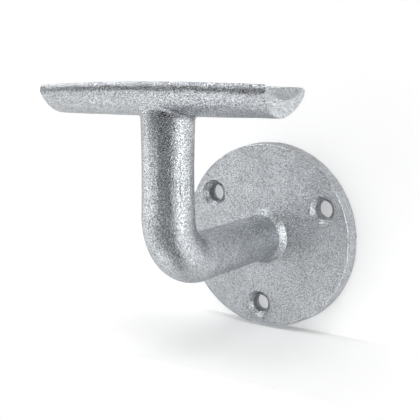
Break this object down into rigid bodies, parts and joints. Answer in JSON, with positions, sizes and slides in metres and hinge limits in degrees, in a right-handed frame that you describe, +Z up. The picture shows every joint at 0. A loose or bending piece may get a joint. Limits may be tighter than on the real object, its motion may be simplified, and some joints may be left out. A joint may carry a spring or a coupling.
{
  "type": "handrail bracket",
  "caption": "Wall bracket for a round handrail: a round screw plate, a bent round bar and a grooved saddle, cast in one piece.",
  "frame": {"origin": "centre of the wall plate's back face, which lies on the wall", "axes": "+X along the handrail, +Y into the wall, +Z up"},
  "size_m": [0.0826, 0.0773, 0.0915],
  "materials": {
    "cast_zinc": "bright zinc plating on a sand-cast malleable iron skin, fine grain"
  },
  "bodies": {
    "root": {"handrail_bracket": "cast_zinc"}
  },
  "joints": []
}
